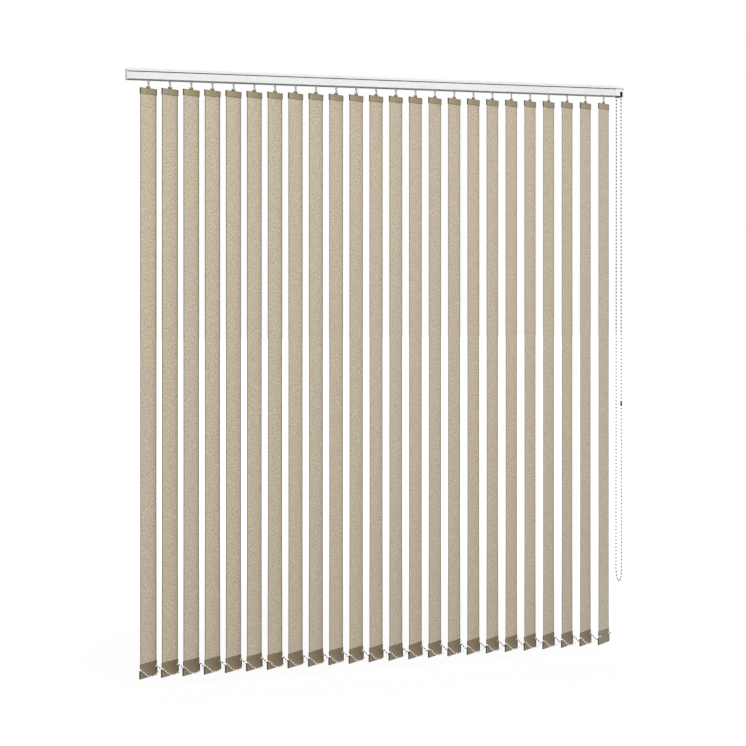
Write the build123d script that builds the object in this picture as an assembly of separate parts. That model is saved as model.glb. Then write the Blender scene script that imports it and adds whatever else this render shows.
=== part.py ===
"""Vertical blind: a 2 m ceiling rail, 24 fabric vanes on sliding carriers, a tilt chain and two bottom chains.

Frame: x = 0 at the middle of the rail, y = 0 on the line of the vane pivots, z = 0 at the top of the rail.
The front of the blind faces -Y. All sizes are in millimetres.
"""

from build123d import *
from math import asin, atan2, cos, hypot, radians, sin, tan
import os

# Whole blind: the rail holds as many vanes as fit between its ends
rail_length = 2000.0
vane_pitch = 80.0
least_end_margin = 60.0
vane_row_shift = 2.0
vane_angle = 35.73
slide_gap = 0.15
bearing_gap = 0.05

# rail section
rail_depth = 50.0
rail_height = 40.0
rail_wall = 1.6
rail_corner = 2.0
channel_opening = 20.0
channel_width = 30.0
channel_depth = 4.0
groove_top = 9.6
groove_height = 4.0
groove_depth = 3.0
slot_width = 16.0
slot_lip = 2.0

# rail ends
cap_thickness = 3.0
cap_plug = 12.0
housing_length = 35.5

# tilt drive
rod_drop = 20.0
rod_radius = 3.2
flute_radius = 0.9
flute_offset = 3.5
sprocket_pitch_radius = 15.0
sprocket_flange_radius = 16.4
sprocket_flange = 1.4
chain_from_end = 11.5

# control chain
bead_diameter = 6.0
chain_half_top = 21.25
chain_half_bottom = 25.0
chain_lean_end = 34.0
chain_loop_start = 1963.0
chain_loop_knee = 1987.0
chain_loop_bottom = 1998.6
joiner_middle = 1280.0
joiner_length = 20.0
joiner_radius = 4.3

# carriers
truck_length = 14.0
truck_half_width = 19.8
truck_body_half = 11.0
truck_notch_half = 4.5
truck_notch_floor = 24.0
truck_top = 8.6
stem_radius = 2.2
stem_thickness = 1.28
stem_bore_sides = 8
stem_reach = 30.3
link_bottom = 13.8
link_width = 8.0
link_thickness = 0.5
link_layers = 6
link_step = 0.7

# hook on each carrier
hook_top = 41.5
hook_width = 15.0
hook_thickness = 2.4
hook_plate_bottom = 55.0
finger_width = 6.0
finger_thickness = 1.6

# hanger at the top of each vane
hanger_top = 69.8
hanger_height = 23.1
hanger_width = 87.0
hanger_thickness = 3.0
tab_width = 20.0
tab_height = 7.5
tab_thickness = 1.6
tab_window_width = 8.0
tab_bar = 2.1

# fabric and bottom weight
fabric_width = 83.0
fabric_thickness = 0.6
fabric_in_hanger = 15.0
fabric_in_weight = 10.0
weight_top = 2193.0
weight_height = 54.7
weight_upper_width = 85.0
weight_width = 92.0
weight_thickness = 3.0
weight_corner = 3.0

# bottom chains
bottom_bead = 5.6
bottom_chain_drop = 2213.8
bottom_chain_sag = 25.2
chain_seat = 44.0
chain_slope = 51.5
chain_fill = 0.88
clip_inward = 10.0
clip_outward = 5.2

# ceiling clips
clip_from_end = 100.0
clips_in_row = 4
clip_length = 30.0
screw_radius = 2.25
screw_head_half = 4.5

# Worked out
half_rail = rail_length / 2
half_depth = rail_depth / 2
vane_count = int((rail_length - 2 * least_end_margin) / vane_pitch) + 1
first_vane_x = vane_row_shift - vane_pitch * (vane_count - 1) / 2
clip_spacing = (rail_length - 2 * clip_from_end) / (clips_in_row - 1)
housing_start = half_rail - housing_length
chain_x = half_rail - chain_from_end
channel_floor = rail_wall + channel_depth
cavity_top = channel_floor + rail_wall
flange_top = rail_height - rail_wall
truck_bottom = rail_height - 0.4
shoulder = bottom_chain_drop + bottom_bead / 2 + slide_gap

os.makedirs("parts", exist_ok=True)


def save(name, *solids):
    """Write one node from its separate solids."""
    made = list(solids)
    shape = made[0] if len(made) == 1 else Compound(children=made)
    shape.label = name
    export_step(shape, f"parts/{name}.step")


def block(x0, x1, y0, y1, z0, z1):
    """A box between two corners."""
    box = Box(x1 - x0, y1 - y0, z1 - z0)
    return Pos((x0 + x1) / 2, (y0 + y1) / 2, (z0 + z1) / 2) * box


def along_x(points, x0, x1):
    """A solid with the section given as (y, z) points, from x0 to x1."""
    outline = Polyline(*[(x0, y, z) for y, z in points], close=True)
    return extrude(make_face(outline), amount=x1 - x0, dir=(1, 0, 0))


def along_y(points, y0, y1):
    """A solid with the outline given as (x, z) points, from y0 to y1."""
    outline = Polyline(*[(x, y0, z) for x, z in points], close=True)
    return extrude(make_face(outline), amount=y1 - y0, dir=(0, 1, 0))


def mirrored(half):
    """Close a half section by mirroring its points in y."""
    return half + [(-y, z) for y, z in reversed(half) if y > 0]


def rod_cylinder(radius, x0, x1, y=0.0, z=None):
    """A cylinder along X."""
    height = -rod_drop if z is None else z
    return Pos((x0 + x1) / 2, y, height) * Rot(0, 90, 0) * Cylinder(radius, x1 - x0)


def rod_prism(radius, sides, x0, x1):
    """A many-sided disc along X on the axis of the tilt rod."""
    plane = Plane((x0, 0, -rod_drop), x_dir=(0, 1, 0), z_dir=(1, 0, 0))
    return extrude(plane * RegularPolygon(radius, sides), amount=x1 - x0)


def rounded_section(x0, x1):
    """The outer form of the rail between two stations, with rounded long edges."""
    body = block(x0, x1, -half_depth, half_depth, -rail_height, 0)
    return fillet(body.edges().filter_by(Axis.X), rail_corner)


def fillet_radii(points, factor=0.45, largest=None):
    """The arc radius at each corner of a route, from its shorter run and its turn."""
    radii = []
    for a, b, c in zip(points, points[1:], points[2:]):
        first = [q - p for p, q in zip(a, b)]
        second = [q - p for p, q in zip(b, c)]
        cosine = sum(p * q for p, q in zip(first, second)) / (hypot(*first) * hypot(*second))
        half_turn = atan2((1 - cosine * cosine) ** 0.5, cosine) / 2
        radius = factor * min(hypot(*first), hypot(*second)) / tan(half_turn)
        radii.append(min(radius, largest) if largest else radius)
    return radii


def tube(name, points, radii, section, section_area):
    """A cord along straight runs joined by tangent arcs, with its size checked."""
    route = FilletPolyline(*points, radius=radii)
    solid = sweep(Plane(route @ 0, z_dir=route % 0) * section, path=route)
    ratio = solid.volume / (section_area * route.length)
    print(name, "length", round(route.length, 1), "volume ratio", round(ratio, 4))
    print(name, "radii", " ".join(f"{r:.1f}" for r in radii[:8]))
    return solid


# Headrail
half_section = [
    (0, -channel_floor),
    (channel_width / 2, -channel_floor),
    (channel_width / 2, -rail_wall),
    (channel_opening / 2, -rail_wall),
    (channel_opening / 2, 0),
    (half_depth, 0),
    (half_depth, -groove_top),
    (half_depth - groove_depth, -groove_top),
    (half_depth - groove_depth, -groove_top - groove_height),
    (half_depth, -groove_top - groove_height),
    (half_depth, -rail_height),
    (slot_width / 2, -rail_height),
    (slot_width / 2, -flange_top + slot_lip),
    (slot_width / 2 + rail_wall, -flange_top + slot_lip),
    (slot_width / 2 + rail_wall, -flange_top),
    (half_depth - rail_wall, -flange_top),
    (half_depth - rail_wall, -groove_top - groove_height - rail_wall),
    (half_depth - groove_depth - rail_wall, -groove_top - groove_height - rail_wall),
    (half_depth - groove_depth - rail_wall, -groove_top + rail_wall),
    (half_depth - rail_wall, -groove_top + rail_wall),
    (half_depth - rail_wall, -rail_wall),
    (channel_width / 2 + rail_wall, -rail_wall),
    (channel_width / 2 + rail_wall, -cavity_top),
    (0, -cavity_top),
]
rail_start = -half_rail + cap_thickness
headrail = along_x(mirrored(half_section), rail_start, housing_start)
long_edges = [
    e
    for e in headrail.edges().filter_by(Axis.X)
    if abs(abs(e.center().Y) - half_depth) < 0.01
    and min(abs(e.center().Z), abs(e.center().Z + rail_height)) < 0.01
]
headrail = fillet(long_edges, rail_corner)
save("headrail", headrail)

# Left end cap
cap = rounded_section(-half_rail, rail_start)
plug_half = half_depth - groove_depth - rail_wall - slide_gap
plug_top = cavity_top + 1.0
plug_bottom = flange_top - slot_lip - 1.0
plug = block(rail_start, rail_start + cap_plug, -plug_half, plug_half, -plug_bottom, -plug_top)
plug -= block(
    rail_start, rail_start + cap_plug, -plug_half + 2, plug_half - 2, -plug_bottom + 2, -plug_top - 2
)
boss = rod_prism(rod_radius + 3, 12, rail_start, rail_start + cap_plug)
cap = cap + plug + boss
cap -= rod_cylinder(rod_radius + bearing_gap, rail_start, rail_start + cap_plug)
save("end_cap_left", cap)

# Control housing
housing_wall = 2.0
housing_roof = rod_drop - sprocket_pitch_radius - bead_diameter / 2
strand_half = bead_diameter / 2 + 0.35
guide_half = chain_half_top - strand_half
guide_drop = 4.0
slot_half = 5.5
slot_height = 17.0
housing = rounded_section(housing_start, half_rail)
housing -= block(
    housing_start + housing_wall,
    half_rail - housing_wall,
    -half_depth + housing_wall,
    half_depth - housing_wall,
    -rail_height + housing_wall,
    -housing_roof,
)
guide = block(
    chain_x - slot_half - 3,
    chain_x + slot_half + 3,
    -guide_half,
    guide_half,
    -rail_height - guide_drop,
    -rail_height + housing_wall,
)
guide = chamfer(guide.edges().filter_by(Axis.X).group_by(Axis.Z)[0], 2.0)
housing += guide
for side in (-1, 1):
    inner = side * guide_half
    outer = side * (half_depth + 1)
    housing -= block(
        chain_x - slot_half,
        chain_x + slot_half,
        min(inner, outer),
        max(inner, outer),
        -rail_height - 1,
        -rail_height + slot_height,
    )
bearing = rod_prism(rod_radius + 2.5, 12, half_rail - housing_wall - 3, half_rail - housing_wall)
housing += bearing
housing -= rod_cylinder(rod_radius + bearing_gap, half_rail - housing_wall - 3, half_rail - 1)
rod_way = rod_radius + 0.4
housing -= block(
    housing_start - 1,
    housing_start + housing_wall + 1,
    -rod_way,
    rod_way,
    -rod_drop - rod_way,
    -rod_drop + rod_way,
)
save("control_housing", housing)

# Ceiling clips
clips = []
for number in range(clips_in_row):
    x = -half_rail + clip_from_end + clip_spacing * number
    neck = block(
        x - clip_length / 2,
        x + clip_length / 2,
        -channel_opening / 2 + slide_gap,
        channel_opening / 2 - slide_gap,
        -rail_wall,
        0,
    )
    foot = block(
        x - clip_length / 2 + 3,
        x + clip_length / 2 - 3,
        -channel_width / 2 + 0.3,
        channel_width / 2 - 0.3,
        -channel_floor + 0.3,
        -rail_wall,
    )
    clip = neck + foot
    clip -= Pos(x, 0, -channel_floor / 2) * Cylinder(screw_radius, channel_floor + 2)
    clip -= Pos(x, 0, -channel_floor) * Box(2 * screw_head_half, 2 * screw_head_half, 5)
    clips.append(clip)
save("mounting_clips", *clips)

# Tilt drive
rod_start = rail_start + 1
rod_end = half_rail - housing_wall + 0.5
rod_section = Circle(rod_radius)
for turn in (90, 210, 330):
    place = Pos(flute_offset * cos(radians(turn)), flute_offset * sin(radians(turn)))
    rod_section -= place * Circle(flute_radius)
rod_plane = Plane((rod_start, 0, -rod_drop), x_dir=(0, 1, 0), z_dir=(1, 0, 0))
save("tilt_rod", extrude(rod_plane * rod_section, amount=rod_end - rod_start))

core_radius = sprocket_pitch_radius - bead_diameter / 2 - slide_gap
core_half = bead_diameter / 2 + slide_gap
sprocket = rod_prism(core_radius, 16, chain_x - core_half, chain_x + core_half)
for side in (-1, 1):
    inner = chain_x + side * core_half
    outer = inner + side * sprocket_flange
    sprocket += rod_prism(sprocket_flange_radius, 16, min(inner, outer), max(inner, outer))
sprocket -= rod_cylinder(rod_radius, chain_x - 10, chain_x + 10)
save("chain_sprocket", sprocket)

# Control chain: its corner over the sprocket lies where the arc's tangent leads to the strand below
top_z = -rod_drop + sprocket_pitch_radius
wrap_radius = sprocket_pitch_radius - 1
wrap_start = 0.697
reach = chain_half_top - wrap_start
fall = chain_lean_end + top_z - wrap_radius
wrap_angle = atan2(fall, reach) + asin(wrap_radius / hypot(reach, fall))
run_out = wrap_start + wrap_radius * tan(wrap_angle / 2)
knee_half = 18.5
loop_vertex = chain_loop_bottom + 3.5


def strand(side):
    """Route points of one strand, from the top of the sprocket to the knee of the loop."""
    return [
        (chain_x, side * 0.5, top_z),
        (chain_x, side * run_out, top_z),
        (chain_x, side * chain_half_top, -chain_lean_end),
        (chain_x, side * chain_half_bottom, -chain_loop_start),
        (chain_x, side * knee_half, -chain_loop_knee),
    ]


control_points = strand(-1) + [(chain_x, 0, -loop_vertex)] + strand(1)[::-1]
control_radii = fillet_radii(control_points)
control_radii[0] = control_radii[-1] = wrap_radius
control_radii[1] = control_radii[-2] = 3 * bead_diameter
control_section = RegularPolygon(bead_diameter / 2, 4)
control_chain = tube(
    "control_chain", control_points, control_radii, control_section, control_section.area
)
save("control_chain", control_chain)

drop = (joiner_middle - chain_lean_end) / (chain_loop_start - chain_lean_end)
joiner_y = -chain_half_top - drop * (chain_half_bottom - chain_half_top)
joiner_section = RegularPolygon(joiner_radius, 12) - RegularPolygon(bead_diameter / 2 + 0.3, 12)
joiner = extrude(joiner_section, amount=joiner_length)
save("chain_joiner", Pos(chain_x, joiner_y, -joiner_middle - joiner_length / 2) * joiner)

# Carriers
lip_clear = rail_wall + 0.6
half_truck = [
    (0, -truck_bottom),
    (slot_width / 2 - 0.6, -truck_bottom),
    (slot_width / 2 - 0.6, -flange_top + slot_lip + 0.4),
    (slot_width / 2 + lip_clear, -flange_top + slot_lip + 0.4),
    (slot_width / 2 + lip_clear, -flange_top + slide_gap),
    (truck_half_width, -flange_top + slide_gap),
    (truck_half_width, -30.0),
    (truck_body_half, -27.0),
    (truck_body_half, -truck_top),
    (truck_notch_half, -truck_top),
    (truck_notch_half, -truck_notch_floor),
    (0, -truck_notch_floor),
]
stem_hole = RegularPolygon(stem_radius + bearing_gap, stem_bore_sides, major_radius=False)
plain_truck = along_x(mirrored(half_truck), -truck_length / 2, truck_length / 2)
plain_truck -= Pos(0, 0, -truck_bottom) * extrude(stem_hole, amount=truck_bottom - stem_reach + 0.3)

for number in range(1, vane_count + 1):
    x = first_vane_x + vane_pitch * (number - 1)
    truck = plain_truck
    if number > 1:
        low = -link_bottom + link_step * (number % link_layers)
        high = low + link_thickness
        reach = vane_pitch + truck_length / 2 - 2
        link = block(-reach, 1, -link_width / 2, link_width / 2, low, high)
        anchor = block(-1, 1, -truck_notch_half - 0.5, truck_notch_half + 0.5, low, high)
        truck = truck + (link + anchor)
    save(f"truck_{number:02d}", Pos(x, 0, 0) * truck)

# Vanes
stem_shape = Circle(stem_radius) & Rectangle(2 * stem_radius + 1, stem_thickness)
stem = Pos(0, 0, -hook_top) * extrude(stem_shape, amount=hook_top - stem_reach)
plate_outline = [
    (hook_width / 2, -hook_top),
    (finger_width / 2, -hook_plate_bottom),
    (-finger_width / 2, -hook_plate_bottom),
    (-hook_width / 2, -hook_top),
]
plate = along_y(plate_outline, -hook_thickness / 2, hook_thickness / 2)
window_top = hanger_top - tab_height + tab_bar
catch_top = window_top + slide_gap
catch_bottom = catch_top + 1.7
arm_inner = tab_thickness / 2 + 0.3
arm_outer = arm_inner + finger_thickness
finger = along_x(
    [
        (-hook_thickness / 2, -hook_plate_bottom + 5),
        (-arm_outer, -hook_plate_bottom + 2),
        (-arm_outer, -catch_bottom),
        (arm_outer, -catch_bottom),
        (arm_outer, -catch_top + 1.6),
        (arm_inner, -catch_top + 1.6),
        (arm_inner, -catch_top),
        (-arm_inner, -catch_top),
        (-arm_inner, -hook_plate_bottom - 2),
        (hook_thickness / 2, -hook_plate_bottom),
    ],
    -finger_width / 2,
    finger_width / 2,
)
hook = stem + plate + finger

hanger_bottom = hanger_top + hanger_height
hanger = block(
    -hanger_width / 2,
    hanger_width / 2,
    -hanger_thickness / 2,
    hanger_thickness / 2,
    -hanger_bottom,
    -hanger_top,
)
hanger += block(
    -tab_width / 2,
    tab_width / 2,
    -tab_thickness / 2,
    tab_thickness / 2,
    -hanger_top,
    -hanger_top + tab_height,
)
hanger -= block(
    -tab_window_width / 2,
    tab_window_width / 2,
    -5,
    5,
    -catch_bottom - 0.6,
    -window_top,
)
pocket_half = fabric_width / 2 + 0.2
pocket_thick = fabric_thickness / 2 + 0.1
fabric_top = hanger_bottom - fabric_in_hanger
hanger -= block(-pocket_half, pocket_half, -pocket_thick, pocket_thick, -hanger_bottom, -fabric_top + 0.2)

fabric_bottom = weight_top + fabric_in_weight
fabric = block(
    -fabric_width / 2,
    fabric_width / 2,
    -fabric_thickness / 2,
    fabric_thickness / 2,
    -fabric_bottom,
    -fabric_top,
)

notch_top = bottom_chain_drop - bottom_bead / 2 - slide_gap
notch_in = chain_seat - (bottom_bead / 2 + 0.3) / sin(radians(vane_angle)) - 2.2
weight_bottom = weight_top + weight_height
half_weight = [
    (weight_upper_width / 2, -weight_top),
    (weight_upper_width / 2, -notch_top),
    (notch_in, -notch_top),
    (notch_in, -shoulder),
    (weight_width / 2, -shoulder),
    (weight_width / 2, -weight_bottom + weight_corner),
    (weight_width / 2 - weight_corner, -weight_bottom),
]
weight = along_y(mirrored(half_weight), -weight_thickness / 2, weight_thickness / 2)
weight -= block(-pocket_half, pocket_half, -pocket_thick, pocket_thick, -fabric_bottom - 0.2, -weight_top)

for number in range(1, vane_count + 1):
    x = first_vane_x + vane_pitch * (number - 1)
    place = Pos(x, 0, 0) * Rot(0, 0, vane_angle)
    save(f"vane_{number:02d}", place * hook, place * hanger, place * fabric, place * weight)

# Bottom chains
# Each chain is made of short lengths between clips. A clip sits in the notch of every weight.
seat_x = chain_seat * cos(radians(vane_angle))
seat_y = chain_seat * sin(radians(vane_angle))
chain_half = bottom_bead * chain_fill / 2
chain_section = RegularPolygon(chain_half, 3)
for name, side in (("bottom_chain_front", -1), ("bottom_chain_rear", 1)):
    y = side * seat_y
    before = clip_outward if side < 0 else clip_inward
    after = clip_inward if side < 0 else clip_outward
    pieces = []
    for number in range(vane_count):
        x = first_vane_x + vane_pitch * number + side * seat_x
        pieces.append(
            block(
                x - before,
                x + after,
                y - chain_half,
                y + chain_half,
                -bottom_chain_drop - chain_half,
                -bottom_chain_drop + chain_half,
            )
        )
    first_x = first_vane_x + side * seat_x
    overlap = chain_half * sin(radians(chain_slope))
    start = first_x + after - overlap
    end = first_x + vane_pitch - before + overlap
    slope_run = bottom_chain_sag / tan(radians(chain_slope))
    low = -bottom_chain_drop - bottom_chain_sag
    points = [
        (start, y, -bottom_chain_drop),
        (start + slope_run, y, low),
        (end - slope_run, y, low),
        (end, y, -bottom_chain_drop),
    ]
    length = tube(name, points, fillet_radii(points), chain_section, chain_section.area)
    for number in range(vane_count - 1):
        pieces.append(Pos(vane_pitch * number, 0, 0) * length)
    chain = pieces[0].fuse(*pieces[1:])
    save(name, chain)
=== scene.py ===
"""A vertical blind dressed for rendering: painted headrail, carriers, woven vanes, weights and bead chains."""

import logging
import math
from dataclasses import dataclass, field
from enum import Enum
from typing import Sequence

import bmesh
import bpy
from mathutils import Matrix, Vector, noise


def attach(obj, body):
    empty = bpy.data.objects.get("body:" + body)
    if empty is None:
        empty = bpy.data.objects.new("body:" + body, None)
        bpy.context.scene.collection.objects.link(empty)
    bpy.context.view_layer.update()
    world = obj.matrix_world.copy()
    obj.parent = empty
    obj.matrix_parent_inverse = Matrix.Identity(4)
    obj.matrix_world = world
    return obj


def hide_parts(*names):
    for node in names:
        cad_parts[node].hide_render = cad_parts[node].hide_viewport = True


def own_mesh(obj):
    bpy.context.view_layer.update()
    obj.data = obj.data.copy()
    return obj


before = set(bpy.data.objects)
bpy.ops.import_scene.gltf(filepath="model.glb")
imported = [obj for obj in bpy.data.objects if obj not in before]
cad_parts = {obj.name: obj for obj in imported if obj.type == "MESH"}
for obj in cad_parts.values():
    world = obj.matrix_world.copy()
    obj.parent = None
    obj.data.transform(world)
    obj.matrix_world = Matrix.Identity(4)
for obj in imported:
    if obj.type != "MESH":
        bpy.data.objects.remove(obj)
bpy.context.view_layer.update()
LOG = logging.getLogger("vertical_blind")
MM = 0.001

Point = tuple[float, float, float]
Colour = tuple[float, float, float]
Outline = Sequence[tuple[float, float]]


class Side(Enum):
    """The two long edges of the blind, by the sign of their y."""

    FRONT = -1
    REAR = 1


class Axis(Enum):
    """The direction in which an outline is drawn out into a solid."""

    X = 0
    Y = 1
    Z = 2


@dataclass(frozen=True)
class Layout:
    """Places and angles that every sub-assembly shares, in metres and radians."""

    count: int = 24
    pitch: float = 80 * MM
    first_x: float = -918 * MM
    angle: float = math.radians(35.73)
    slat_seat: float = 44 * MM
    seat_drop: float = 2213.8 * MM

    def vane_x(self, number: int) -> float:
        """Give the x of a vane's pivot.

        Args:
            number: The vane's number, from 1 at the left.

        Returns:
            The pivot's x in metres.
        """
        return self.first_x + self.pitch * (number - 1)

    def vane_matrix(self, number: int) -> Matrix:
        """Give the place of a vane's own frame, x along the cloth and z up.

        Args:
            number: The vane's number, from 1 at the left.

        Returns:
            The matrix from the vane's frame to the row frame.
        """
        turn = Matrix.Rotation(self.angle, 4, "Z")
        return Matrix.Translation((self.vane_x(number), 0, 0)) @ turn


LAYOUT = Layout()


# Finishes


@dataclass(frozen=True)
class Rim:
    """Painted shade along a flat moulding's outline and on its two ends, in the vane's own frame."""

    half: float
    low: float
    high: float
    band: float
    colour: Colour
    ends: Colour


@dataclass(frozen=True)
class Fade:
    """Painted shade down a moulding: a change from its own colour to a darker one."""

    high: float
    low: float
    colour: Colour


@dataclass(frozen=True)
class PlasticFinish:
    """A moulded plastic: colour, gloss, grain depth and how strongly its edges are rubbed."""

    name: str
    colour: Colour
    roughness: float = 0.35
    grain: float = 0.15
    grain_size: float = 900.0
    rub: float = 0.3
    dust: float = 0.2
    subsurface: float = 0.0
    # The rim and fade below paint shade onto the moulding.
    rim: Rim | None = None
    fade: Fade | None = None


@dataclass(frozen=True)
class PaintFinish:
    """A powder coat on metal, with its faint orange peel and painted shade in its groove and on its underside."""

    name: str
    colour: Colour
    painted_shade: Colour
    roughness: float = 0.45
    peel: float = 0.12
    rub: float = 0.2


@dataclass(frozen=True)
class ClothFinish:
    """A woven cloth: the two thread colours, thread pitch in metres, and the depth of its slubs."""

    name: str
    warp: Colour
    weft: Colour
    # The edge colour is painted shade along the cloth's long edges, over the band below.
    edge: Colour
    tint: Colour
    thread: float = 1.15 * MM
    slub: float = 2.6
    width: float = 83 * MM
    band: float = 4.8 * MM


@dataclass(frozen=True)
class MetalFinish:
    """A bare metal with the lines of its extrusion."""

    name: str
    colour: Colour
    roughness: float = 0.3


class NodeTree:
    """A thin wrapper that adds and links shader nodes in few words."""

    def __init__(self, tree: bpy.types.NodeTree) -> None:
        """Keep the tree.

        Args:
            tree: The tree of a material or group, already empty.
        """
        self.tree = tree

    def add(self, kind: str, **settings: object) -> bpy.types.Node:
        """Add a node and set its properties and unlinked inputs.

        Args:
            kind: The node's Blender type name.
            **settings: Properties by name, or input values when the name starts with "in_".

        Returns:
            The new node.
        """
        node = self.tree.nodes.new(kind)
        for key, value in settings.items():
            if key.startswith("in_"):
                label = key[3:]
                socket = node.inputs[int(label)] if label.isdigit() else node.inputs[label.replace("_", " ")]
                socket.default_value = value
            else:
                setattr(node, key, value)
        return node

    def link(self, source: bpy.types.NodeSocket, target: bpy.types.NodeSocket) -> None:
        """Join two sockets.

        Args:
            source: The output socket.
            target: The input socket.

        Returns:
            None.
        """
        self.tree.links.new(source, target)

    def math(self, operation: str, first: object, second: object = None, third: object = None) -> bpy.types.NodeSocket:
        """Add a Math node over sockets or numbers.

        Args:
            operation: The Math node's operation.
            first: A socket or a number.
            second: A socket, a number or None.
            third: A socket, a number or None.

        Returns:
            The node's output socket.
        """
        node = self.add("ShaderNodeMath", operation=operation)
        for socket, value in zip(node.inputs, (first, second, third)):
            if isinstance(value, bpy.types.NodeSocket):
                self.link(value, socket)
            elif value is not None:
                socket.default_value = value
        return node.outputs[0]

    def ramp(self, value: bpy.types.NodeSocket, low: object, high: object) -> bpy.types.NodeSocket:
        """Stretch a value so that low gives 0 and high gives 1, with smooth ends.

        Args:
            value: The value to stretch.
            low: The value that gives 0, a socket or a number.
            high: The value that gives 1, a socket or a number.

        Returns:
            The stretched value's socket.
        """
        node = self.add("ShaderNodeMapRange", interpolation_type="SMOOTHSTEP")
        self.link(value, node.inputs["Value"])
        for label, limit in (("From Min", low), ("From Max", high)):
            if isinstance(limit, bpy.types.NodeSocket):
                self.link(limit, node.inputs[label])
            else:
                node.inputs[label].default_value = limit
        return node.outputs["Result"]

    def mix(self, factor: object, first: object, second: object, blend: str = "MIX") -> bpy.types.NodeSocket:
        """Mix two colours.

        Args:
            factor: A socket or a number.
            first: A socket or a colour.
            second: A socket or a colour.
            blend: The way of mixing.

        Returns:
            The mixed colour's socket.
        """
        node = self.add("ShaderNodeMix", data_type="RGBA", blend_type=blend)
        for socket, value in zip((node.inputs[0], node.inputs[6], node.inputs[7]), (factor, first, second)):
            if isinstance(value, bpy.types.NodeSocket):
                self.link(value, socket)
            elif isinstance(value, tuple):
                socket.default_value = (*value, 1.0)
            else:
                socket.default_value = value
        return node.outputs[2]


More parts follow.
